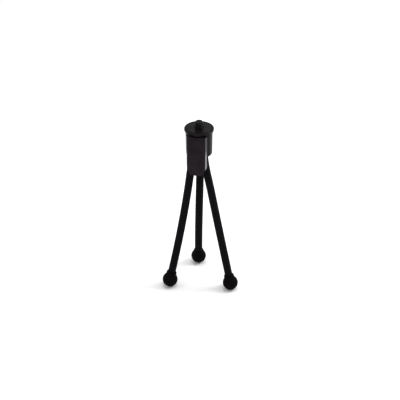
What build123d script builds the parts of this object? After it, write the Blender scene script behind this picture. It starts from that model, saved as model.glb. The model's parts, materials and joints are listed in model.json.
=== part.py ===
from build123d import *
import os
from math import cos, radians, sin

# Pocket tripod with three bendable gooseneck legs. Millimetres and degrees.
# The camera screw's axis is Z and the pad's top face is Z = 0. The clip is at the front, -Y.
# Bearings round the axis are counted from the front, positive towards +X.

# Turning platform
DISC_R = 11.0
DISC_TOP = -0.3
DISC_BOTTOM = -2.5
DISC_FOOT_R = 9.5
DISC_ROUND = 0.6
DISC_CONE = 0.5
PAD_R = 9.4
PAD_DEPTH = 0.7
PAD_ROUND = 0.25
PAD_HOLE_CLEAR = 0.3
THREAD_R = 3.175
THREAD_HEIGHT = 5.0
THREAD_TIP = 0.7
RELIEF_R = 2.95
COLLAR_ACROSS_FLATS = 9.5
COLLAR_HEIGHT = 1.3
SPINDLE_R = 2.5
SHOULDER_Z = -6.05
STUB_THREAD_R = 2.0
STUB_THREAD_END = -10.2
LOCK_WASHER_R = 4.8
LOCK_WASHER_THICK = 0.8
NUT_ACROSS_FLATS = 7.0
NUT_HEIGHT = 3.0

# Hub
HUB_TOP = -2.8
HUB_BOTTOM = -21.2
HUB_TOP_R = 10.05
HUB_BOTTOM_R = 9.85
HUB_BORE_R = 8.5
HUB_WEB = 2.4
RIM_ROUND = 0.8
TOP_ROUND = 0.3
RUNNING_GAP = 0.05
BOSS_INTO_WALL = 0.5
BEARING_WASHER_R = 7.6
SPRING_WASHER_R = 4.6
SPRING_WASHER_THICK = 0.35
SPRING_WASHER_LIFT = 0.03
SPRING_WASHER_CLEAR = 0.2

# Leg block and the three screws that hold it in the hub
BLOCK_TOP = -11.4
BLOCK_BOTTOM = -20.7
BLOCK_R = 8.45
BLOCK_CHAMFER = 0.5
SCREW_Z = -15.6
SCREW_R = 1.1
SCREW_HEAD_R = 1.9
SCREW_HEAD_DEPTH = 1.0
SCREW_REACH = 4.4
SCREW_FACE = (HUB_TOP_R + HUB_BOTTOM_R) / 2 - 0.15
DRIVER_LENGTH = 2.2
DRIVER_WIDTH = 0.45
DRIVER_DEPTH = 0.5

# Clip at the front, a shallow tray that hangs from a cross pin and is closed by a spring
CLIP_FRONT = -11.6
CLIP_HALF_WIDTH = 6.9
CLIP_BACK_HALF_WIDTH = 7.85
CLIP_TOP = -2.8
CLIP_BOTTOM = -34.7
CLIP_WEB = 1.4
CLIP_RIM = 1.3
CLIP_RIM_BACK = -8.2
CLIP_BEVEL_WIDTH = 2.6
CLIP_BEVEL_DEPTH = 0.6
CLIP_CORNER_WIDTH = 3.65
CLIP_CORNER_HEIGHT = 6.35
CLIP_CORNER_ROUND = 1.0
CLIP_CLEAR = 0.35
CLIP_TOP_CLEAR = 0.85
CLIP_OPEN_TOP = 3.0
NECK_HALF_THICK = 0.8
NECK_OVERLAP = 0.7
PIN_Y = -7.7
PIN_Z = -5.8
PIN_R = 0.75
PIN_HALF_LENGTH = 5.6
BARREL_R = 1.35
BARREL_HALF_WIDTH = 3.7
RECESS_HALF_WIDTH = 4.1
RECESS_BACK = -6.1
RECESS_LOW = -7.7
RECESS_HIGH = -3.9
BOSS_HALF_WIDTH = 6.3
BOSS_BACK = -5.3
BOSS_LOW = -9.4
SPRING_HALF_WIDTH = 1.3
SPRING_SLOT_HALF_WIDTH = 1.7
SPRING_COIL_R = 1.15
SPRING_WIRE_R = 0.16
SPRING_TURNS = 6
SPRING_SLOT_CLEAR = 0.3
SPRING_SLOT_REACH = 2.0

# Gooseneck legs: each is a root held in the block and four lengths, bent at four places
LEG_R = 3.0
LEG_BORE_R = 1.2
ROOT_RADIUS = 5.0
ROOT_TILT = 6.0
ROOT_SHOWING = 3.4
ROOT_INSIDE = 8.0
BEND_PITCH = 27.2
KNUCKLE_R = 2.45
KNUCKLE_CLEAR = 0.10
KNUCKLE_NECK = 1.15
SLEEVE_R = 3.25
SLEEVE_SHOWING = 0.3
SOCKET_SPARE = 0.3

# Ball feet
FOOT_R = 5.95
FOOT_LEVEL = -131.3
FOOT_COLLAR_R = 3.9
FOOT_COLLAR_TOP = 6.9
FOOT_COLLAR_ROUND = 0.4
FOOT_SLEEVE_LENGTH = 6.2
FOOT_SLEEVE_END = 0.6
FOOT_BORE_CLEAR = 0.05

# Each leg as it stands: bearing of its socket, tilt from vertical and heading at the top and at the foot
LEGS = {
    "left": (-60.0, 4.95, 13.05, -77.0, -52.0),
    "right": (60.0, 12.1, 11.5, 71.5, 84.5),
    "back": (180.0, 3.6, 15.1, 205.0, 192.5),
}
LENGTH_NAMES = ("upper", "middle", "lower", "end")
BEND_NAMES = ("root_bend", "upper_bend", "middle_bend", "lower_bend")

BOTTOM_UP = (Align.CENTER, Align.CENTER, Align.MIN)


def bearing(angle):
    """Horizontal unit vector at an angle from the front."""
    return Vector(sin(radians(angle)), -cos(radians(angle)), 0)


def downwards(tilt, heading):
    """Unit vector that leans out of the vertical by tilt, towards heading."""
    return bearing(heading) * sin(radians(tilt)) + Vector(0, 0, -cos(radians(tilt)))


def disc_between(radius, low, high):
    """Upright cylinder on the axis between two heights."""
    return Pos(0, 0, low) * Cylinder(radius, high - low, align=BOTTOM_UP)


def block_between(corner_a, corner_b):
    """Box with its faces along the axes, given two opposite corners."""
    a, b = Vector(*corner_a), Vector(*corner_b)
    size = b - a
    return Pos(*((a + b) * 0.5)) * Box(abs(size.X), abs(size.Y), abs(size.Z))


def cross_cylinder(radius, half_length):
    """Cylinder along X, centred on the clip's pin."""
    return Pos(0, PIN_Y, PIN_Z) * Rot(0, 90, 0) * Cylinder(radius, 2 * half_length)


def hexagon(across_flats, low, high):
    outline = RegularPolygon(across_flats / 2, 6, major_radius=False)
    return extrude(Pos(0, 0, low) * outline, high - low)


# ---- turning platform ----

def platform_disc():
    body = Pos(0, 0, DISC_BOTTOM) * Cone(DISC_FOOT_R, DISC_R, DISC_CONE, align=BOTTOM_UP)
    body += disc_between(DISC_R, DISC_BOTTOM + DISC_CONE, DISC_TOP)
    body = fillet(body.edges().group_by(Axis.Z)[-1], DISC_ROUND)
    body -= disc_between(PAD_R, -PAD_DEPTH, 0)
    body -= disc_between(THREAD_R + RUNNING_GAP, DISC_BOTTOM, 0)
    return body - hexagon(COLLAR_ACROSS_FLATS, DISC_BOTTOM, DISC_BOTTOM + COLLAR_HEIGHT)


def platform_pad():
    pad = disc_between(PAD_R, -PAD_DEPTH, 0)
    pad = fillet(pad.edges().group_by(Axis.Z)[-1], PAD_ROUND)
    return pad - disc_between(THREAD_R + PAD_HOLE_CLEAR, -PAD_DEPTH, 0)


def camera_screw():
    """Camera stud, the collar that the disc turns it by, and the spindle, in one piece."""
    collar_top = DISC_BOTTOM + COLLAR_HEIGHT
    stud = disc_between(THREAD_R, 0, THREAD_HEIGHT)
    stud = chamfer(stud.edges().group_by(Axis.Z)[-1], THREAD_TIP)
    stud += disc_between(RELIEF_R, collar_top, 0)
    stud += hexagon(COLLAR_ACROSS_FLATS, DISC_BOTTOM, collar_top)
    stud += disc_between(SPINDLE_R, SHOULDER_Z, DISC_BOTTOM)
    return stud + disc_between(STUB_THREAD_R, STUB_THREAD_END, SHOULDER_Z)


def retaining_washer():
    ring = disc_between(LOCK_WASHER_R, SHOULDER_Z - LOCK_WASHER_THICK, SHOULDER_Z)
    return ring - disc_between(STUB_THREAD_R, STUB_THREAD_END, 0)


def lock_nut():
    top = SHOULDER_Z - LOCK_WASHER_THICK
    nut = hexagon(NUT_ACROSS_FLATS, top - NUT_HEIGHT, top)
    return nut - disc_between(STUB_THREAD_R, STUB_THREAD_END, 0)


# ---- hub ----

def hub_outside():
    height = HUB_TOP - HUB_BOTTOM
    outside = Pos(0, 0, HUB_BOTTOM) * Cone(HUB_BOTTOM_R, HUB_TOP_R, height, align=BOTTOM_UP)
    outside = fillet(outside.edges().group_by(Axis.Z)[0], RIM_ROUND)
    return fillet(outside.edges().group_by(Axis.Z)[-1], TOP_ROUND)


def screw_places():
    """The block's three screws, each between two legs, pointing outwards from the axis."""
    return [Pos(0, 0, SCREW_Z) * Rot(0, 0, turn) * Rot(90, 0, 0) for turn in (0, 120, 240)]


def block_screw():
    """Countersunk screw along +Z, its head flush with the hub's side."""
    head_low = SCREW_FACE - SCREW_HEAD_DEPTH
    head = Pos(0, 0, head_low) * Cone(SCREW_R, SCREW_HEAD_R, SCREW_HEAD_DEPTH, align=BOTTOM_UP)
    shank = Pos(0, 0, SCREW_FACE - SCREW_REACH) * Cylinder(SCREW_R, SCREW_REACH - 0.1, align=BOTTOM_UP)
    driver = Pos(0, 0, SCREW_FACE) * Box(DRIVER_LENGTH, DRIVER_WIDTH, 2 * DRIVER_DEPTH)
    cross = Pos(0, 0, SCREW_FACE) * Box(DRIVER_WIDTH, DRIVER_LENGTH, 2 * DRIVER_DEPTH)
    return head + shank - driver - cross


def screw_hole():
    """The hole that a block screw fills, open to the outside."""
    head_low = SCREW_FACE - SCREW_HEAD_DEPTH
    hole = Pos(0, 0, head_low) * Cone(SCREW_R, SCREW_HEAD_R, SCREW_HEAD_DEPTH, align=BOTTOM_UP)
    hole += Pos(0, 0, SCREW_FACE) * Cylinder(SCREW_HEAD_R, 1.0, align=BOTTOM_UP)
    return hole + Pos(0, 0, SCREW_FACE - SCREW_REACH) * Cylinder(SCREW_R, SCREW_REACH, align=BOTTOM_UP)


def hub_shell():
    cavity_top = HUB_TOP - HUB_WEB
    shell = hub_outside() - disc_between(HUB_BORE_R, HUB_BOTTOM, cavity_top)
    boss = block_between((-BOSS_HALF_WIDTH, -HUB_TOP_R, BOSS_LOW), (BOSS_HALF_WIDTH, BOSS_BACK, cavity_top))
    shell += boss & disc_between(HUB_BORE_R + BOSS_INTO_WALL, BOSS_LOW, cavity_top)
    shell -= block_between(
        (-RECESS_HALF_WIDTH, -HUB_TOP_R - 1, RECESS_LOW), (RECESS_HALF_WIDTH, RECESS_BACK, RECESS_HIGH)
    )
    shell -= disc_between(SPINDLE_R + RUNNING_GAP, cavity_top, HUB_TOP)
    shell -= cross_cylinder(PIN_R, PIN_HALF_LENGTH)
    for place in screw_places():
        shell -= place * screw_hole()
    return shell


def bearing_washer():
    return disc_between(BEARING_WASHER_R, HUB_TOP, DISC_BOTTOM) - disc_between(
        SPINDLE_R + RUNNING_GAP, HUB_TOP, DISC_BOTTOM
    )


def spring_washer():
    """Dished washer under the hub's web that loads the turning platform."""
    top = HUB_TOP - HUB_WEB
    low = SHOULDER_Z + SPRING_WASHER_LIFT
    inner = SPINDLE_R + SPRING_WASHER_CLEAR
    section = Polygon(
        (inner, top),
        (inner, top - SPRING_WASHER_THICK),
        (SPRING_WASHER_R, low),
        (SPRING_WASHER_R, low + SPRING_WASHER_THICK),
        align=None,
    )
    return revolve(Plane.XZ * section, Axis.Z)


def leg_block():
    block = disc_between(BLOCK_R, BLOCK_BOTTOM, BLOCK_TOP)
    block = chamfer(block.edges().group_by(Axis.Z)[-1], BLOCK_CHAMFER)
    for name in LEGS:
        block -= along_root(name) * sleeve_socket()
    for place in screw_places():
        block -= place * screw_hole()
    return block


def block_screws():
    return Compound(children=[place * block_screw() for place in screw_places()])


# ---- clip ----

def clip_outline():
    """The tray seen from the front, in X and Z, with cut and rounded lower corners."""
    low_x = CLIP_BACK_HALF_WIDTH - CLIP_CORNER_WIDTH
    corner_z = CLIP_BOTTOM + CLIP_CORNER_HEIGHT
    outline = Polygon(
        (-CLIP_BACK_HALF_WIDTH, CLIP_TOP),
        (-CLIP_BACK_HALF_WIDTH, corner_z),
        (-low_x, CLIP_BOTTOM),
        (low_x, CLIP_BOTTOM),
        (CLIP_BACK_HALF_WIDTH, corner_z),
        (CLIP_BACK_HALF_WIDTH, CLIP_TOP),
        align=None,
    )
    lower = outline.vertices().filter_by(lambda v: v.Y < CLIP_TOP - 1)
    return fillet(lower, CLIP_CORNER_ROUND)


def clip_section(inset, front):
    """The tray seen from above, in X and Y: a bevelled front and sides that flare towards the back."""
    flare = (CLIP_BACK_HALF_WIDTH - CLIP_HALF_WIDTH) / (CLIP_RIM_BACK - CLIP_FRONT - CLIP_BEVEL_DEPTH)
    front_y = front + CLIP_BEVEL_DEPTH
    front_x = CLIP_HALF_WIDTH - inset + flare * (front - CLIP_FRONT)
    back_x = CLIP_BACK_HALF_WIDTH - inset
    flank = front_x - CLIP_BEVEL_WIDTH
    return Polygon(
        (-back_x, CLIP_RIM_BACK),
        (-front_x, front_y),
        (-flank, front),
        (flank, front),
        (front_x, front_y),
        (back_x, CLIP_RIM_BACK),
        align=None,
    )


def clip_tongue():
    """Tray-shaped clip: a bevelled face, a rim turned back round it, and two barrels on the pin."""
    height = CLIP_TOP - CLIP_BOTTOM
    tray = extrude(Plane.XZ * clip_outline(), -CLIP_FRONT, dir=(0, -1, 0))
    tray &= extrude(Pos(0, 0, CLIP_BOTTOM) * clip_section(0, CLIP_FRONT), height)
    inside = clip_section(CLIP_RIM, CLIP_FRONT + CLIP_WEB)
    hollow = extrude(Pos(0, 0, CLIP_BOTTOM + CLIP_RIM) * inside, height)
    within_rim = extrude(Plane.XZ * offset(clip_outline(), -CLIP_RIM), -CLIP_FRONT, dir=(0, -1, 0))
    open_top = block_between(
        (-CLIP_BACK_HALF_WIDTH, CLIP_FRONT, CLIP_TOP - CLIP_OPEN_TOP), (CLIP_BACK_HALF_WIDTH, 0, 0)
    )
    tray -= hollow & (within_rim + open_top)
    tray -= disc_between(HUB_TOP_R + CLIP_CLEAR, HUB_BOTTOM - CLIP_CLEAR, PIN_Z)
    tray -= disc_between(HUB_TOP_R + CLIP_TOP_CLEAR, PIN_Z, 0)
    neck = block_between(
        (-BARREL_HALF_WIDTH, CLIP_FRONT + NECK_OVERLAP, PIN_Z - NECK_HALF_THICK),
        (BARREL_HALF_WIDTH, PIN_Y, PIN_Z + NECK_HALF_THICK),
    )
    tray += neck + cross_cylinder(BARREL_R, BARREL_HALF_WIDTH)
    tray -= block_between(
        (-SPRING_SLOT_HALF_WIDTH, CLIP_FRONT + CLIP_WEB + SPRING_SLOT_CLEAR, PIN_Z - SPRING_SLOT_REACH),
        (SPRING_SLOT_HALF_WIDTH, PIN_Y + SPRING_SLOT_REACH, PIN_Z + SPRING_SLOT_REACH),
    )
    return tray - cross_cylinder(PIN_R + RUNNING_GAP, BARREL_HALF_WIDTH + 1)


def clip_spring():
    """Torsion spring round the pin, between the two barrels."""
    width = 2 * SPRING_HALF_WIDTH
    coil = Helix(width / SPRING_TURNS, width, SPRING_COIL_R)
    start = coil @ 0
    section = Plane(origin=start, z_dir=coil % 0) * Circle(SPRING_WIRE_R)
    wire = sweep(section, path=coil)
    return Pos(-SPRING_HALF_WIDTH, PIN_Y, PIN_Z) * Rot(0, 90, 0) * wire


# ---- legs ----

def leg_points(name):
    """Socket mouth, the four bends and the ball's centre of a leg."""
    socket, top_tilt, foot_tilt, top_heading, foot_heading = LEGS[name]
    mouth = bearing(socket) * ROOT_RADIUS + Vector(0, 0, HUB_BOTTOM)
    points = [mouth, mouth + downwards(ROOT_TILT, socket) * ROOT_SHOWING]
    steps = len(LENGTH_NAMES)
    for n in range(1, steps + 1):
        share = n / steps
        tilt = top_tilt + (foot_tilt - top_tilt) * share
        heading = top_heading + (foot_heading - top_heading) * share
        way = downwards(tilt, heading)
        run = BEND_PITCH if n < steps else (points[-1].Z - FOOT_LEVEL) / -way.Z
        points.append(points[-1] + way * run)
    return points


def along(a, b):
    """Frame at a whose Z axis points to b."""
    return Plane(origin=a, z_dir=b - a)


def along_root(name):
    mouth, first_bend = leg_points(name)[:2]
    return along(mouth, first_bend)


def tube(radius, bore, start, end):
    outside = Pos(0, 0, start) * Cylinder(radius, end - start, align=BOTTOM_UP)
    return outside - Pos(0, 0, start) * Cylinder(bore, end - start, align=BOTTOM_UP)


def knuckle_cup(at):
    return Pos(0, 0, at) * Sphere(KNUCKLE_R + KNUCKLE_CLEAR)


def leg_root():
    """The part of the gooseneck in its socket, down to the cup of the first bend."""
    return tube(LEG_R, LEG_BORE_R, -ROOT_INSIDE, ROOT_SHOWING - KNUCKLE_NECK) - knuckle_cup(ROOT_SHOWING)


def leg_length(run, last):
    """A length of gooseneck from one bend to the next, with a domed top and a cupped lower end."""
    end = run if last else run - KNUCKLE_NECK
    length = tube(LEG_R, LEG_BORE_R, KNUCKLE_NECK, end)
    length += Sphere(KNUCKLE_R) - Cylinder(LEG_BORE_R, 3 * KNUCKLE_R)
    return length if last else length - knuckle_cup(run)


def sleeve_socket():
    """The hole in the block that a sleeve fills, run out past the block's lower face."""
    length = ROOT_INSIDE + SOCKET_SPARE
    return Pos(0, 0, -length) * Cylinder(SLEEVE_R, length + ROOT_SHOWING, align=BOTTOM_UP)


def socket_sleeve():
    """Steel sleeve crimped on the leg's top end and pressed into the block."""
    return tube(SLEEVE_R, LEG_R, -ROOT_INSIDE, SLEEVE_SHOWING)


def foot_sleeve(run):
    """Closed steel cap crimped on the leg's lower end, inside the ball."""
    cap = tube(SLEEVE_R, LEG_R, run - FOOT_SLEEVE_LENGTH, run)
    return cap + Pos(0, 0, run) * Cylinder(SLEEVE_R, FOOT_SLEEVE_END, align=BOTTOM_UP)


def foot_ball(run):
    """Rubber ball with a short collar, pushed over the cap."""
    collar = Pos(0, 0, run - FOOT_COLLAR_TOP) * Cylinder(FOOT_COLLAR_R, FOOT_COLLAR_TOP, align=BOTTOM_UP)
    collar = fillet(collar.edges().group_by(Axis.Z)[0], FOOT_COLLAR_ROUND)
    ball = Pos(0, 0, run) * Sphere(FOOT_R) + collar
    pocket_length = FOOT_SLEEVE_LENGTH + FOOT_SLEEVE_END
    pocket = Pos(0, 0, run - FOOT_SLEEVE_LENGTH) * Cylinder(SLEEVE_R, pocket_length, align=BOTTOM_UP)
    bore_r = LEG_R + FOOT_BORE_CLEAR
    bore = Pos(0, 0, run - FOOT_COLLAR_TOP) * Cylinder(bore_r, FOOT_COLLAR_TOP, align=BOTTOM_UP)
    return ball - pocket - bore


def leg_parts(name):
    """Every piece of one leg, in place, by node name."""
    points = leg_points(name)
    root = along_root(name)
    pieces = {
        f"{name}_socket_sleeve": root * socket_sleeve(),
        f"{name}_leg_root": root * leg_root(),
    }
    for n, part_name in enumerate(LENGTH_NAMES):
        a, b = points[n + 1], points[n + 2]
        run = (b - a).length
        last = n == len(LENGTH_NAMES) - 1
        pieces[f"{name}_leg_{part_name}"] = along(a, b) * leg_length(run, last)
        if last:
            pieces[f"{name}_foot_sleeve"] = along(a, b) * foot_sleeve(run)
            pieces[f"{name}_foot_ball"] = along(a, b) * foot_ball(run)
    return pieces


def bend_axes(name):
    """Pivot and axis of each bend: outwards, sideways, inwards, sideways."""
    socket = LEGS[name][0]
    points = leg_points(name)
    outwards = Vector(0, 0, -1).cross(bearing(socket))
    axes = []
    for n in range(len(BEND_NAMES)):
        way = (points[n + 2] - points[n + 1]).normalized()
        sideways = outwards.cross(way).normalized()
        axis = (outwards, sideways, outwards * -1, sideways)[n]
        axes.append((f"{name}_{BEND_NAMES[n]}", points[n + 1], axis))
    return axes


def main():
    pieces = {
        "platform_disc": platform_disc(),
        "platform_pad": platform_pad(),
        "camera_screw": camera_screw(),
        "retaining_washer": retaining_washer(),
        "lock_nut": lock_nut(),
        "hub_shell": hub_shell(),
        "bearing_washer": bearing_washer(),
        "spring_washer": spring_washer(),
        "leg_block": leg_block(),
        "block_screws": block_screws(),
        "clip_tongue": clip_tongue(),
        "clip_pin": cross_cylinder(PIN_R, PIN_HALF_LENGTH),
        "clip_spring": clip_spring(),
    }
    for name in LEGS:
        pieces |= leg_parts(name)
    os.makedirs("parts", exist_ok=True)
    for node, shape in pieces.items():
        export_step(shape, f"parts/{node}.step")
    for name in LEGS:
        for joint, pivot, axis in bend_axes(name):
            print("JOINT", joint, *(round(v, 4) for v in (*pivot, *axis)))


main()
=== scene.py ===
import json
from math import cos, pi, radians, sin, sqrt, tau

import bmesh
import bpy
import numpy as np
from mathutils import Matrix, Vector, noise


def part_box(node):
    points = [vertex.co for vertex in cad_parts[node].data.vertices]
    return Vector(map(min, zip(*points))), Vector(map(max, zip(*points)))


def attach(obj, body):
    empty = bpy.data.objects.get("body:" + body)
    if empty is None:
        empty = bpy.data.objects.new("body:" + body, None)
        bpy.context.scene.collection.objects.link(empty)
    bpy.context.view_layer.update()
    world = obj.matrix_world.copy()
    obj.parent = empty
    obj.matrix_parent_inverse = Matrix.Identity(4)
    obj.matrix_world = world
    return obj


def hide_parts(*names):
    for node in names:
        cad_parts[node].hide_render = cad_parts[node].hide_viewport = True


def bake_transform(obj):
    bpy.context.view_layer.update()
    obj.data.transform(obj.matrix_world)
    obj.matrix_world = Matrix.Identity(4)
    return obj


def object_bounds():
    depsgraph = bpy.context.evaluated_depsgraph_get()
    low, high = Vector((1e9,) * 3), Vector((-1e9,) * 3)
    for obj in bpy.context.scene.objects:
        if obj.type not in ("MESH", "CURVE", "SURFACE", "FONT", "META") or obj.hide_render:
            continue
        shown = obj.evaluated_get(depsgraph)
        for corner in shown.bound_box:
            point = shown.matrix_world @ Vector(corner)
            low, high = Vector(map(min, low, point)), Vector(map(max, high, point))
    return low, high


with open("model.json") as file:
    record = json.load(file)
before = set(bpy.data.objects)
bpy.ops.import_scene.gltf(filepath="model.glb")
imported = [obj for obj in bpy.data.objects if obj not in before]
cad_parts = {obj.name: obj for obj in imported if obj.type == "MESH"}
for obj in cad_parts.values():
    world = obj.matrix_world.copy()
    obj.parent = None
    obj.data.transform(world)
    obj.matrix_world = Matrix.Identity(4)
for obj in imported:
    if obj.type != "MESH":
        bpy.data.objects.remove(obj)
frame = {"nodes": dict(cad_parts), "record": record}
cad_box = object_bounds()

# Looks of a pocket tripod, built round its CAD model. Sizes are in millimetres, and MM makes them metres.
MM = 0.001

# Doubled points closer than this are one, in metres: in new meshes, and in copies of CAD meshes
SAME_POINT = 1e-7
SAME_CAD_POINT = 2e-6

# Platform disc, measured down from the pad's top face
DISC_R = 11.0
DISC_TOP = -0.3
DISC_LOW = -2.5
DISC_ROUND = 0.6
DISC_FOOT_R = 9.5
DISC_FOOT_ROUND = 0.2
DISC_CONE_TOP = -2.0
DISC_BREAK_WIDTH = 0.05
DISC_BREAK_HALF_HEIGHT = 0.06
POCKET_R = 5.5
SCREW_HOLE_R = 3.225
DISC_SIDES = 160

# Pad, the groove round it, and the pebbles of its grain
PAD_R = 9.4
PAD_LOW = -0.7
PAD_ROUND = 0.25
PAD_HOLE_R = 3.475
PAD_GROOVE = 0.15
PAD_GROOVE_ROUND = 0.12
PAD_GROOVE_FOOT = 0.03
PAD_SIDES = 240
PAD_RINGS = 64
PEBBLE_SIZE = 0.62
PEBBLE_DEPTH = 0.012
PEBBLE_STEEPNESS = 2.2

# Camera screw: 1/4 inch, 20 turns to the inch. Crest and root are in turns from the middle of a crest.
THREAD_R = 3.175
THREAD_ROOT_R = 2.49
THREAD_PITCH = 1.27
THREAD_CREST_END = 1 / 16
THREAD_ROOT_START = 3 / 8
THREAD_LOW = -0.45
THREAD_RUN_IN = 0.5
THREAD_TOP = 5.0
THREAD_CHAMFER = 0.7
THREAD_RINGS_PER_TURN = 16
DIMPLE_R_SHARE = 0.55
DIMPLE_FLOOR_SHARE = 0.35
DIMPLE_DEPTH = 0.25
RELIEF_R = 2.95
COLLAR_TOP = -1.2
COLLAR_ACROSS_FLATS = 9.5
SPINDLE_R = 2.5
SHOULDER_Z = -6.05
STUB_R = 2.0
STUB_END = -10.2
STUB_CHAMFER = 0.3
SCREW_SIDES = 72

# Goosenecks: legs by their bearing, ribs of round wire on a helix, and how far each joint's bend reaches
LEGS = {"left": -60.0, "right": 60.0, "back": 180.0}
LENGTHS = ("upper", "middle", "lower", "end")
BENDS = ("root_bend", "upper_bend", "middle_bend", "lower_bend")
ROOT_TILT = 6.0
ROOT_ABOVE_BEND = 7.4
GOOSENECK_R = 2.99
RIB_PITCH = 1.45
RIB_DEPTH = 0.34
RIB_SQUARENESS = 2.4
RIB_STEPS = 9
RIB_SIDES = 34
CURVE_STEPS = 60

# Ball feet: heights are up the leg from the ball's centre, except the pocket's end, which is below it.
# The flare's points are (width past the collar, height).
BALL_R = 5.95
BALL_COLLAR_R = 3.9
BALL_COLLAR_END = 6.9
BALL_COLLAR_ROUND = 0.4
BALL_COLLAR_FLARE = ((0.0, 5.2), (0.05, 4.75), (0.22, 4.3))
BALL_NECK_WIDTH = 0.7
BALL_POCKET_R = 3.25
BALL_POCKET_END = 0.6
BALL_POCKET_LIP = 6.2
BALL_BORE_R = 3.05
BALL_BORE_CHAMFER = 0.15
SEAM_HEIGHT = 0.06
SEAM_HALF_ANGLE = 0.8

# Clip: the rounding of its edges, and where its outer sides are rubbed to a shine
CLIP_EDGE = 0.22
CLIP_EDGE_STEPS = 3
CLIP_FLAT_ANGLE = 0.3
CLIP_SHARP_ANGLE = 30.0
CLIP_SIDE_FROM = 6.2
CLIP_SIDE_FULL = 6.4
CLIP_SHINE_BACK = -9.0
CLIP_SHINE_SOFT = 0.15
CLIP_SHINE_TOP = -13.5
CLIP_SHINE_FULL = -18.5
CLIP_SHINE_LEAST = 0.3

# Studio, in metres and watts: each light's place, size and power
FLOOR_HALF = 3.0
WORLD_STRENGTH = 0.55
LIGHT_AIM = (0.0, 0.0, -0.06)
LIGHTS = {
    "key": ((0.75, 0.25, 0.65), 0.5, 5.0),
    "fill": ((-0.7, -0.5, 0.6), 0.6, 1.2),
    "top": ((0.0, 0.1, 1.0), 0.8, 3.5),
    "front": ((0.15, -1.1, 0.12), 0.4, 1.0),
}

# Camera: the direction it looks from, and where it looks
CAMERA_AZIMUTH = 11.82
CAMERA_ELEVATION = 31.73
CAMERA_DISTANCE = 900.0
CAMERA_LENS = 106.2
CAMERA_SENSOR = 36.0
CAMERA_TO_RIGHT = 0.69
CAMERA_AIM_Z = -62.83


# ---- mesh helpers ----

def add_object(name, mesh, material, sharp_angle=40.0):
    """Object with smooth faces, and sharp edges where faces meet at more than sharp_angle."""
    mesh.polygons.foreach_set("use_smooth", [True] * len(mesh.polygons))
    mesh.set_sharp_from_angle(angle=radians(sharp_angle))
    mesh.materials.clear()
    mesh.materials.append(material)
    obj = bpy.data.objects.new(name, mesh)
    bpy.context.scene.collection.objects.link(obj)
    return obj


def finished_mesh(name, vertices, faces):
    """Mesh from points in metres, with doubled points merged and normals facing out."""
    mesh = bpy.data.meshes.new(name)
    mesh.from_pydata([tuple(v) for v in vertices], [], faces)
    bm = bmesh.new()
    bm.from_mesh(mesh)
    bmesh.ops.remove_doubles(bm, verts=bm.verts, dist=SAME_POINT)
    bmesh.ops.recalc_face_normals(bm, faces=bm.faces)
    bm.to_mesh(mesh)
    bm.free()
    return mesh


def ring_mesh(name, rings, loop):
    """Closed mesh through rings of points. With loop, the last ring joins the first."""
    count, sides, _ = rings.shape
    faces = []
    for i in range(count if loop else count - 1):
        low, high = i * sides, (i + 1) % count * sides
        for j in range(sides):
            k = (j + 1) % sides
            faces.append((low + j, low + k, high + k, high + j))
    if not loop:
        faces.append(tuple(range(sides))[::-1])
        faces.append(tuple(range((count - 1) * sides, count * sides)))
    return finished_mesh(name, rings.reshape(-1, 3), faces)


def arc(centre_r, centre_z, radius, start, end, steps=8):
    """Points of an arc in a profile. Angles in degrees, 0 outwards and 90 towards +Z."""
    turns = np.radians(np.linspace(start, end, steps + 1))
    return [(centre_r + radius * cos(t), centre_z + radius * sin(t)) for t in turns]


def basis(origin, axis):
    """Placement whose Z axis lies along axis."""
    turn = axis.to_track_quat("Z", "Y").to_matrix().to_4x4()
    return Matrix.Translation(origin) @ turn


def lathe(name, profile, material, place=None, sides=96, loop=True):
    """Turned piece. The profile is (radius, height) in millimetres."""
    turns = np.linspace(0, tau, sides, endpoint=False)
    rings = [[(r * cos(t) * MM, r * sin(t) * MM, z * MM) for t in turns] for r, z in profile]
    mesh = ring_mesh(name, np.array(rings), loop)
    if place is not None:
        mesh.transform(place)
    return add_object(name, mesh, material)


# ---- materials ----

def tree_of(name):
    """New material, its node tree and its shader."""
    material = bpy.data.materials.new(name)
    material.use_nodes = True
    tree = material.node_tree
    return material, tree, tree.nodes["Principled BSDF"]


def add_node(tree, kind, **sockets):
    node = tree.nodes.new(kind)
    for name, value in sockets.items():
        node.inputs[name.replace("_", " ")].default_value = value
    return node


def object_coords(tree):
    return tree.nodes.new("ShaderNodeTexCoord").outputs["Object"]


def noise_of(tree, coords, size_mm, detail=4.0, roughness=0.6):
    """Noise whose features are about size_mm across."""
    node = add_node(tree, "ShaderNodeTexNoise", Scale=1000.0 / size_mm, Detail=detail, Roughness=roughness)
    tree.links.new(coords, node.inputs["Vector"])
    return node.outputs["Fac"]


def cells_of(tree, coords, size_mm):
    """Rounded cells about size_mm across."""
    node = add_node(tree, "ShaderNodeTexVoronoi", Scale=1000.0 / size_mm)
    node.feature = "SMOOTH_F1"
    node.inputs["Smoothness"].default_value = 0.4
    tree.links.new(coords, node.inputs["Vector"])
    return node.outputs["Distance"]


def remap(tree, value, low_in, high_in, low_out, high_out):
    """Value moved from one range to another, and held between the new range's ends."""
    node = add_node(
        tree, "ShaderNodeMapRange", From_Min=low_in, From_Max=high_in, To_Min=low_out, To_Max=high_out
    )
    tree.links.new(value, node.inputs["Value"])
    return node.outputs["Result"]


def mixed(tree, factor, colour_a, colour_b):
    """Colour between two, by factor. Either may be a socket."""
    node = tree.nodes.new("ShaderNodeMix")
    node.data_type = "RGBA"
    tree.links.new(factor, node.inputs["Factor"])
    for socket, colour in zip(("A", "B"), (colour_a, colour_b)):
        target = [s for s in node.inputs if s.name == socket and s.type == "RGBA"][0]
        if isinstance(colour, bpy.types.NodeSocket):
            tree.links.new(colour, target)
        else:
            target.default_value = (*colour, 1.0)
    return [s for s in node.outputs if s.type == "RGBA"][0]


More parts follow.
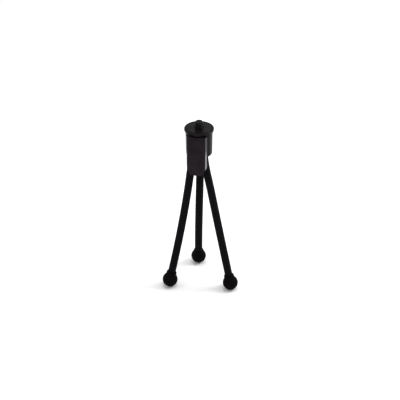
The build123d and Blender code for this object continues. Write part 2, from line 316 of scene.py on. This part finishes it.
def multiplied(tree, a, b):
    node = tree.nodes.new("ShaderNodeMath")
    node.operation = "MULTIPLY"
    tree.links.new(a, node.inputs[0])
    tree.links.new(b, node.inputs[1])
    return node.outputs["Value"]


def paler(colour, times):
    """Colour made brighter, up to white."""
    return tuple(min(1.0, times * c) for c in colour)


def bumped(tree, shader, height, distance_mm, under=None):
    """Bump from a height, on top of the normals in under."""
    node = add_node(tree, "ShaderNodeBump", Strength=1.0, Distance=distance_mm * MM)
    tree.links.new(height, node.inputs["Height"])
    if under is not None:
        tree.links.new(under, node.inputs["Normal"])
    tree.links.new(node.outputs["Normal"], shader.inputs["Normal"])
    return node.outputs["Normal"]


def edge_wear(tree, start, end):
    """0 on flat and hollow places, 1 on the sharpest outer edges."""
    pointiness = tree.nodes.new("ShaderNodeNewGeometry").outputs["Pointiness"]
    return remap(tree, pointiness, start, end, 0.0, 1.0)


def moulded(name, dark, light, roughness, specular, grain_mm, grain_depth_mm, wear=(0.52, 0.60)):
    """Moulded plastic or rubber: colour drift, fine grain, smudged gloss, paler worn edges."""
    material, tree, shader = tree_of(name)
    coords = object_coords(tree)
    drift = noise_of(tree, coords, 6.0)
    fine = noise_of(tree, coords, grain_mm, detail=6.0, roughness=0.7)
    body = mixed(tree, remap(tree, drift, 0.35, 0.65, 0.0, 1.0), dark, light)
    speckled = mixed(tree, remap(tree, fine, 0.55, 0.75, 0.0, 0.5), body, paler(light, 2.0))
    rub = multiplied(tree, edge_wear(tree, *wear), remap(tree, drift, 0.3, 0.7, 0.3, 1.0))
    worn = mixed(tree, rub, speckled, paler(light, 3.5))
    tree.links.new(worn, shader.inputs["Base Color"])
    smudge = remap(tree, noise_of(tree, coords, 3.0), 0.3, 0.7, roughness - 0.05, roughness + 0.07)
    tree.links.new(smudge, shader.inputs["Roughness"])
    shader.inputs["Specular IOR Level"].default_value = specular
    grain = bumped(tree, shader, cells_of(tree, coords, grain_mm), grain_depth_mm)
    bumped(tree, shader, noise_of(tree, coords, 0.35 * grain_mm), 0.4 * grain_depth_mm, under=grain)
    return material


def clip_plastic():
    """The clip's plastic, with outer sides that pockets have rubbed to a shine, most of all low down."""
    material = moulded(
        "clip_plastic", dark=(0.0042, 0.0032, 0.0040), light=(0.0076, 0.0055, 0.0070),
        roughness=0.34, specular=0.10, grain_mm=0.26, grain_depth_mm=0.005,
    )
    tree = material.node_tree
    shader = tree.nodes["Principled BSDF"]
    place = tree.nodes.new("ShaderNodeSeparateXYZ")
    facing = tree.nodes.new("ShaderNodeSeparateXYZ")
    source = tree.nodes.new("ShaderNodeTexCoord")
    tree.links.new(source.outputs["Object"], place.inputs["Vector"])
    tree.links.new(source.outputs["Normal"], facing.inputs["Vector"])
    outwards = multiplied(tree, facing.outputs["X"], place.outputs["X"])
    sides = remap(tree, outwards, CLIP_SIDE_FROM * MM, CLIP_SIDE_FULL * MM, 0.0, 1.0)
    near, far = CLIP_SHINE_BACK - CLIP_SHINE_SOFT, CLIP_SHINE_BACK + CLIP_SHINE_SOFT
    front = remap(tree, place.outputs["Y"], near * MM, far * MM, 1.0, 0.0)
    low = remap(tree, place.outputs["Z"], CLIP_SHINE_FULL * MM, CLIP_SHINE_TOP * MM, 1.0, CLIP_SHINE_LEAST)
    shine = multiplied(tree, multiplied(tree, sides, front), low)
    tree.links.new(shine, shader.inputs["Coat Weight"])
    shader.inputs["Coat Roughness"].default_value = 0.06
    shader.inputs["Coat IOR"].default_value = 2.2
    return material


def coated_metal(name, coat, bare, roughness, specular, wear):
    """Black coated metal that shows through where crests are rubbed."""
    material, tree, shader = tree_of(name)
    coords = object_coords(tree)
    patches = remap(tree, noise_of(tree, coords, 2.2, detail=5.0), 0.42, 0.66, 0.0, 1.0)
    rubbed = multiplied(tree, edge_wear(tree, *wear), patches)
    drift = mixed(tree, noise_of(tree, coords, 9.0), coat, paler(coat, 1.9))
    tree.links.new(mixed(tree, rubbed, drift, bare), shader.inputs["Base Color"])
    tree.links.new(remap(tree, rubbed, 0.0, 1.0, 0.0, 0.85), shader.inputs["Metallic"])
    smudge = remap(tree, noise_of(tree, coords, 1.1), 0.3, 0.7, roughness - 0.08, roughness + 0.10)
    tree.links.new(smudge, shader.inputs["Roughness"])
    shader.inputs["Specular IOR Level"].default_value = specular
    bumped(tree, shader, noise_of(tree, coords, 0.35, detail=5.0), 0.012)
    return material


def plain_steel(name, colour, roughness):
    """Zinc-plated steel with fine drawn scratches."""
    material, tree, shader = tree_of(name)
    coords = object_coords(tree)
    stretched = add_node(tree, "ShaderNodeMapping")
    stretched.inputs["Scale"].default_value = (1.0, 1.0, 12.0)
    tree.links.new(coords, stretched.inputs["Vector"])
    lines = noise_of(tree, stretched.outputs["Vector"], 1.0, detail=6.0)
    tree.links.new(mixed(tree, lines, tuple(0.75 * c for c in colour), colour), shader.inputs["Base Color"])
    tree.links.new(remap(tree, lines, 0.3, 0.7, roughness - 0.1, roughness + 0.1), shader.inputs["Roughness"])
    shader.inputs["Metallic"].default_value = 1.0
    bumped(tree, shader, lines, 0.01)
    return material


DISC_PLASTIC = moulded(
    "disc_plastic", dark=(0.0055, 0.0045, 0.0055), light=(0.009, 0.0075, 0.009),
    roughness=0.30, specular=0.16, grain_mm=0.30, grain_depth_mm=0.006,
)
PAD_RUBBER = moulded(
    "pad_rubber", dark=(0.006, 0.005, 0.006), light=(0.013, 0.0105, 0.012),
    roughness=0.28, specular=0.16, grain_mm=0.30, grain_depth_mm=0.008, wear=(0.75, 0.90),
)
HUB_PLASTIC = moulded(
    "hub_plastic", dark=(0.0042, 0.0037, 0.0042), light=(0.0072, 0.0062, 0.0070),
    roughness=0.30, specular=0.12, grain_mm=0.32, grain_depth_mm=0.005,
)
CLIP_PLASTIC = clip_plastic()
BLOCK_PLASTIC = moulded(
    "block_plastic", dark=(0.005, 0.005, 0.005), light=(0.009, 0.009, 0.009),
    roughness=0.50, specular=0.15, grain_mm=0.30, grain_depth_mm=0.012,
)
FOOT_RUBBER = moulded(
    "foot_rubber", dark=(0.0032, 0.0024, 0.0030), light=(0.0058, 0.0045, 0.0055),
    roughness=0.65, specular=0.06, grain_mm=0.40, grain_depth_mm=0.020,
)
NYLON = moulded(
    "washer_nylon", dark=(0.60, 0.59, 0.55), light=(0.70, 0.69, 0.65),
    roughness=0.45, specular=0.50, grain_mm=0.40, grain_depth_mm=0.006,
)
STUD_STEEL = coated_metal(
    "stud_steel", coat=(0.008, 0.0075, 0.007), bare=(0.10, 0.09, 0.085),
    roughness=0.46, specular=0.12, wear=(0.55, 0.68),
)
GOOSENECK = coated_metal(
    "gooseneck_black", coat=(0.0042, 0.0034, 0.0044), bare=(0.044, 0.038, 0.044),
    roughness=0.62, specular=0.08, wear=(0.52, 0.62),
)
SCREW_BLACK = coated_metal(
    "screw_black", coat=(0.008, 0.008, 0.0085), bare=(0.20, 0.20, 0.20),
    roughness=0.38, specular=0.30, wear=(0.53, 0.65),
)
SMALL_STEEL = plain_steel("small_steel", colour=(0.55, 0.55, 0.56), roughness=0.30)


# ---- platform ----

def platform_disc():
    """Disc with a rounded rim, a groove round the pad, and the pocket for the screw's collar."""
    profile = [(POCKET_R, DISC_LOW)]
    profile += arc(DISC_FOOT_R - DISC_FOOT_ROUND, DISC_LOW + DISC_FOOT_ROUND, DISC_FOOT_ROUND, -90, -40, 4)
    profile.append((DISC_R - DISC_BREAK_WIDTH, DISC_CONE_TOP - DISC_BREAK_HALF_HEIGHT))
    profile.append((DISC_R, DISC_CONE_TOP + DISC_BREAK_HALF_HEIGHT))
    profile += arc(DISC_R - DISC_ROUND, DISC_TOP - DISC_ROUND, DISC_ROUND, 0, 90, 10)
    profile += arc(PAD_R + PAD_GROOVE, DISC_TOP - PAD_GROOVE_ROUND, PAD_GROOVE_ROUND, 90, 180, 4)
    profile += [(PAD_R + PAD_GROOVE_FOOT, PAD_LOW), (SCREW_HOLE_R, PAD_LOW)]
    profile += [(SCREW_HOLE_R, COLLAR_TOP), (POCKET_R, COLLAR_TOP)]
    disc = lathe("platform_disc_turned", profile, DISC_PLASTIC, sides=DISC_SIDES)
    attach(disc, "platform")
    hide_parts("platform_disc")


def pebble(x, y):
    """0 between pebbles and 1 on top of one, for a place in millimetres."""
    near, second = noise.voronoi((x / PEBBLE_SIZE, y / PEBBLE_SIZE, 0.0))[0][:2]
    return min(1.0, PEBBLE_STEEPNESS * (second - near))


def platform_pad():
    """Rubber pad with a pebbled top, its highest points at the CAD pad's face."""
    inner_edge = PAD_HOLE_R + PAD_ROUND
    outer_edge = PAD_R - PAD_ROUND
    profile = [(PAD_R, PAD_LOW)] + arc(outer_edge, -PAD_ROUND, PAD_ROUND, 0, 80, 5)
    profile += [(r, 0.0) for r in np.linspace(outer_edge, inner_edge, PAD_RINGS)]
    profile += arc(inner_edge, -PAD_ROUND, PAD_ROUND, 100, 180, 5) + [(PAD_HOLE_R, PAD_LOW)]
    rings = []
    for r, z in profile:
        ring = []
        for t in np.linspace(0, tau, PAD_SIDES, endpoint=False):
            x, y = r * cos(t), r * sin(t)
            low = PEBBLE_DEPTH * (1 - pebble(x, y)) if z == 0.0 else 0.0
            ring.append((x * MM, y * MM, (z - low) * MM))
        rings.append(ring)
    mesh = ring_mesh("platform_pad_pebbled", np.array(rings), True)
    pad = add_object("platform_pad_pebbled", mesh, PAD_RUBBER, sharp_angle=60.0)
    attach(pad, "platform")
    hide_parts("platform_pad")


def thread_radius(z, turn):
    """Radius of a right-hand unified thread, with flat crests and roots."""
    phase = (z / THREAD_PITCH - turn / tau) % 1.0
    from_crest = min(phase, 1.0 - phase)
    flank = (from_crest - THREAD_CREST_END) / (THREAD_ROOT_START - THREAD_CREST_END)
    flank = min(1.0, max(0.0, flank))
    return THREAD_R - (THREAD_R - THREAD_ROOT_R) * flank


def camera_screw():
    """Threaded stud, hexagon collar, spindle and stub, as one turned piece."""
    turns = np.linspace(0, tau, SCREW_SIDES, endpoint=False)
    half_flat = COLLAR_ACROSS_FLATS / 2
    hexagon = [half_flat / cos((t % (pi / 3)) - pi / 6) for t in turns]
    stub = [(STUB_R - STUB_CHAMFER, STUB_END), (STUB_R, STUB_END + STUB_CHAMFER), (STUB_R, SHOULDER_Z)]
    spindle = [(SPINDLE_R, SHOULDER_Z), (SPINDLE_R, DISC_LOW)]
    rings = [[corner] * SCREW_SIDES for corner in stub + spindle]
    rings += [[(r, z) for r in hexagon] for z in (DISC_LOW, COLLAR_TOP)]
    rings += [[(RELIEF_R, z)] * SCREW_SIDES for z in (COLLAR_TOP, PAD_LOW)]
    tip_r = THREAD_R - THREAD_CHAMFER
    for z in np.arange(THREAD_LOW, THREAD_TOP + 0.001, THREAD_PITCH / THREAD_RINGS_PER_TURN):
        start = min(1.0, (z - THREAD_LOW) / THREAD_RUN_IN)
        limit = min(THREAD_R, tip_r + (THREAD_TOP - z), RELIEF_R + (THREAD_R - RELIEF_R) * start)
        rings.append([(min(limit, thread_radius(z, t)), z) for t in turns])
    rings.append([(min(tip_r, thread_radius(THREAD_TOP, t)), THREAD_TOP) for t in turns])
    rings.append([(DIMPLE_R_SHARE * tip_r, THREAD_TOP)] * SCREW_SIDES)
    rings.append([(DIMPLE_FLOOR_SHARE * tip_r, THREAD_TOP - DIMPLE_DEPTH)] * SCREW_SIDES)
    points = [
        [(r * cos(t) * MM, r * sin(t) * MM, z * MM) for (r, z), t in zip(ring, turns)] for ring in rings
    ]
    mesh = ring_mesh("camera_screw", np.array(points), False)
    stud = add_object("camera_screw_threaded", mesh, STUD_STEEL, sharp_angle=35.0)
    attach(stud, "platform")
    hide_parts("camera_screw")


# ---- clip ----

def softened_copy(node, name, material, edge_mm):
    """Copy of a CAD node's mesh with its sharp edges rounded off."""
    mesh = frame["nodes"][node].data.copy()
    bm = bmesh.new()
    bm.from_mesh(mesh)
    bmesh.ops.remove_doubles(bm, verts=bm.verts, dist=SAME_CAD_POINT)
    bmesh.ops.dissolve_limit(bm, angle_limit=radians(CLIP_FLAT_ANGLE), verts=bm.verts, edges=bm.edges)
    sharp = [e for e in bm.edges if e.is_manifold and e.calc_face_angle() > radians(CLIP_SHARP_ANGLE)]
    bmesh.ops.bevel(
        bm, geom=sharp, offset=edge_mm * MM, segments=CLIP_EDGE_STEPS, profile=0.5,
        affect="EDGES", clamp_overlap=True,
    )
    bm.to_mesh(mesh)
    bm.free()
    return add_object(name, mesh, material)


def clip_tongue():
    clip = softened_copy("clip_tongue", "clip_tongue_moulded", CLIP_PLASTIC, CLIP_EDGE)
    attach(clip, "clip")
    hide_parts("clip_tongue")


# ---- goosenecks ----

def bend_pivot(leg, bend):
    joints = {joint["name"]: joint for joint in frame["record"]["behaviour"]["joints"]}
    return Vector(joints[f"{leg}_{bend}"]["pos_m"])


def ball_centre(leg):
    low, high = (Vector(corner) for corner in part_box(f"{leg}_foot_ball"))
    return Vector(((low.x + high.x) / 2, (low.y + high.y) / 2, low.z + BALL_R * MM))


def root_direction(leg):
    """Unit vector down the leg's root."""
    tilt, bearing = radians(ROOT_TILT), radians(LEGS[leg])
    return Vector((sin(tilt) * sin(bearing), -sin(tilt) * cos(bearing), -cos(tilt)))


def leg_knots(leg):
    """Top of the gooseneck, its four bends, and the ball's centre."""
    pivots = [bend_pivot(leg, bend) for bend in BENDS]
    top = pivots[0] - root_direction(leg) * ROOT_ABOVE_BEND * MM
    return [top] + pivots + [ball_centre(leg)]


def smooth_line(knots, spacing):
    """Points at equal spacing on a smooth curve through the knots, and the curve's length at each knot."""
    points = np.array([tuple(k) for k in knots])
    marks = np.concatenate(([0.0], np.cumsum(np.linalg.norm(np.diff(points, axis=0), axis=1))))
    slopes = np.gradient(points, marks, axis=0)
    dense = []
    for i in range(len(points) - 1):
        run = marks[i + 1] - marks[i]
        for share in np.linspace(0, 1, CURVE_STEPS, endpoint=False):
            s2, s3 = share ** 2, share ** 3
            dense.append(
                (2 * s3 - 3 * s2 + 1) * points[i] + (s3 - 2 * s2 + share) * run * slopes[i]
                + (3 * s2 - 2 * s3) * points[i + 1] + (s3 - s2) * run * slopes[i + 1]
            )
    dense = np.array(dense + [points[-1]])
    lengths = np.concatenate(([0.0], np.cumsum(np.linalg.norm(np.diff(dense, axis=0), axis=1))))
    places = np.arange(0, lengths[-1], spacing)
    line = np.stack([np.interp(places, lengths, dense[:, k]) for k in range(3)], axis=1)
    return line, lengths[::CURVE_STEPS]


def rib_radius(length, turn):
    """Radius of the wound surface, in metres: round wires side by side on a right-hand helix."""
    phase = (length / (RIB_PITCH * MM) - turn / tau) % 1.0
    from_crest = abs(phase - 0.5) / 0.5
    wire = sqrt(max(0.0, 1 - from_crest ** RIB_SQUARENESS))
    return (GOOSENECK_R - RIB_DEPTH * (1 - wire)) * MM


def frames_along(line):
    """Two cross directions at each point, with no twist from one point to the next."""
    tangents = np.gradient(line, axis=0)
    tangents /= np.linalg.norm(tangents, axis=1)[:, None]
    side = np.cross((0.0, 1.0, 0.0), tangents[0])
    sides = []
    for tangent in tangents:
        side = side - tangent * np.dot(side, tangent)
        side /= np.linalg.norm(side)
        sides.append(side)
    sides = np.array(sides)
    return sides, np.cross(tangents, sides)


def gooseneck(leg):
    """A leg's gooseneck in five pieces, cut halfway between its knots, the first four each reaching over one
    joint's pivot. The last rides on the leg's end body; the others stay where they are built.
    """
    step = RIB_PITCH * MM / RIB_STEPS
    line, marks = smooth_line(leg_knots(leg), step)
    across, up = frames_along(line)
    turns = np.linspace(0, tau, RIB_SIDES, endpoint=False)
    rings = np.empty((len(line), RIB_SIDES, 3))
    for i in range(len(line)):
        radii = np.array([rib_radius(i * step, t) for t in turns])[:, None]
        rings[i] = line[i] + radii * (np.cos(turns)[:, None] * across[i] + np.sin(turns)[:, None] * up[i])
    between = [int((marks[n] + marks[n + 1]) / 2 / step) for n in range(1, 1 + len(BENDS))]
    cuts = [0] + between + [len(line) - 1]
    bodies = ["hub"] + [f"{leg}_leg_{part}_body" for part in LENGTHS]
    nodes = ["root"] + list(LENGTHS)
    for n, node in enumerate(nodes):
        name = f"{leg}_gooseneck_{node}"
        mesh = ring_mesh(name, rings[cuts[n]:cuts[n + 1] + 1], False)
        piece = add_object(name, mesh, GOOSENECK, sharp_angle=75.0)
        if n < len(LENGTHS):
            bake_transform(piece)
        else:
            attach(piece, bodies[n])
        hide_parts(f"{leg}_leg_{node}")


def foot_ball(leg):
    """Moulded ball with a short collar, a hollow for the steel cap, and a fine mould line.

    The profile runs along the leg's own line, with the collar at negative heights.
    """
    centre = ball_centre(leg)
    way = (centre - bend_pivot(leg, BENDS[-1])).normalized()
    neck_r = BALL_COLLAR_R + BALL_NECK_WIDTH
    neck_z = -sqrt(BALL_R ** 2 - neck_r ** 2)
    profile = [(0.0, BALL_POCKET_END), (BALL_POCKET_R, BALL_POCKET_END), (BALL_POCKET_R, -BALL_POCKET_LIP)]
    profile += [(BALL_BORE_R, -BALL_POCKET_LIP), (BALL_BORE_R, -BALL_COLLAR_END + BALL_BORE_CHAMFER)]
    profile.append((BALL_BORE_R + BALL_BORE_CHAMFER, -BALL_COLLAR_END))
    rounding = BALL_COLLAR_ROUND
    profile += arc(BALL_COLLAR_R - rounding, -BALL_COLLAR_END + rounding, rounding, -90, 0, 6)
    profile += [(BALL_COLLAR_R + width, -height) for width, height in BALL_COLLAR_FLARE] + [(neck_r, neck_z)]
    start = np.degrees(np.arctan2(neck_z, neck_r))
    below, at_seam, above = np.linspace(start, -3, 16)[1:], np.linspace(-2, 2, 9), np.linspace(3, 90, 28)
    for angle in np.concatenate((below, at_seam, above)):
        seam = max(0.0, SEAM_HEIGHT * (1 - abs(angle) / SEAM_HALF_ANGLE))
        radius = BALL_R - SEAM_HEIGHT + seam
        profile.append((radius * cos(radians(angle)), radius * sin(radians(angle))))
    profile[-1] = (0.0, BALL_R - SEAM_HEIGHT)
    ball = lathe(f"{leg}_foot_ball_moulded", profile, FOOT_RUBBER, basis(centre, way), loop=False)
    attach(ball, f"{leg}_leg_end_body")
    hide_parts(f"{leg}_foot_ball")


# ---- CAD nodes that stay ----

def finish_kept_nodes():
    """Give each CAD node that stays its material."""
    kept = {
        "hub_shell": HUB_PLASTIC,
        "leg_block": BLOCK_PLASTIC,
        "block_screws": SCREW_BLACK,
        "retaining_washer": SMALL_STEEL,
        "lock_nut": SMALL_STEEL,
        "spring_washer": SMALL_STEEL,
        "bearing_washer": NYLON,
        "clip_pin": SMALL_STEEL,
        "clip_spring": SMALL_STEEL,
    }
    for leg in LEGS:
        kept[f"{leg}_socket_sleeve"] = SCREW_BLACK
        kept[f"{leg}_foot_sleeve"] = SCREW_BLACK
    for node, material in kept.items():
        for place in frame["nodes"][node].material_slots:
            place.material = material


# ---- floor, light and camera ----

def floor():
    level = cad_box[0][2]
    corners = [(x * FLOOR_HALF, y * FLOOR_HALF, level) for x, y in ((-1, -1), (1, -1), (1, 1), (-1, 1))]
    mesh = bpy.data.meshes.new("floor")
    mesh.from_pydata(corners, [], [(0, 1, 2, 3)])
    material, tree, shader = tree_of("floor_paper")
    coords = object_coords(tree)
    tone = mixed(tree, noise_of(tree, coords, 40.0), (0.93,) * 3, (0.95,) * 3)
    tree.links.new(tone, shader.inputs["Base Color"])
    shader.inputs["Roughness"].default_value = 0.9
    shader.inputs["Specular IOR Level"].default_value = 0.1
    mesh.materials.append(material)
    obj = bpy.data.objects.new("floor", mesh)
    bpy.context.scene.collection.objects.link(obj)


def area_light(name, place, size, power):
    light = bpy.data.lights.new(name, "AREA")
    light.shape = "DISK"
    light.size = size
    light.energy = power
    obj = bpy.data.objects.new(name, light)
    obj.location = place
    obj.rotation_euler = (Vector(place) - Vector(LIGHT_AIM)).to_track_quat("Z", "Y").to_euler()
    bpy.context.scene.collection.objects.link(obj)


def light_scene():
    world = bpy.data.worlds.new("studio")
    world.use_nodes = True
    background = world.node_tree.nodes["Background"]
    background.inputs["Color"].default_value = (1.0, 1.0, 1.0, 1.0)
    background.inputs["Strength"].default_value = WORLD_STRENGTH
    bpy.context.scene.world = world
    for name, (place, size, power) in LIGHTS.items():
        area_light(name, place, size, power)


def place_camera():
    azimuth, elevation = radians(CAMERA_AZIMUTH), radians(CAMERA_ELEVATION)
    back = Vector((sin(azimuth) * cos(elevation), -cos(azimuth) * cos(elevation), sin(elevation)))
    right = Vector((cos(azimuth), sin(azimuth), 0.0))
    aim = right * CAMERA_TO_RIGHT * MM + Vector((0.0, 0.0, CAMERA_AIM_Z * MM))
    camera = bpy.data.cameras.new("camera")
    camera.sensor_width = CAMERA_SENSOR
    camera.lens = CAMERA_LENS
    obj = bpy.data.objects.new("camera", camera)
    obj.location = aim + back * CAMERA_DISTANCE * MM
    obj.rotation_euler = back.to_track_quat("Z", "Y").to_euler()
    bpy.context.scene.collection.objects.link(obj)
    bpy.context.scene.camera = obj


place_camera()
light_scene()
floor()
finish_kept_nodes()
platform_disc()
platform_pad()
camera_screw()
clip_tongue()
for leg in LEGS:
    gooseneck(leg)
    foot_ball(leg)

scene = bpy.context.scene
scene.view_settings.view_transform = "Standard"
scene.view_settings.look = "Medium High Contrast"

bpy.context.view_layer.update()
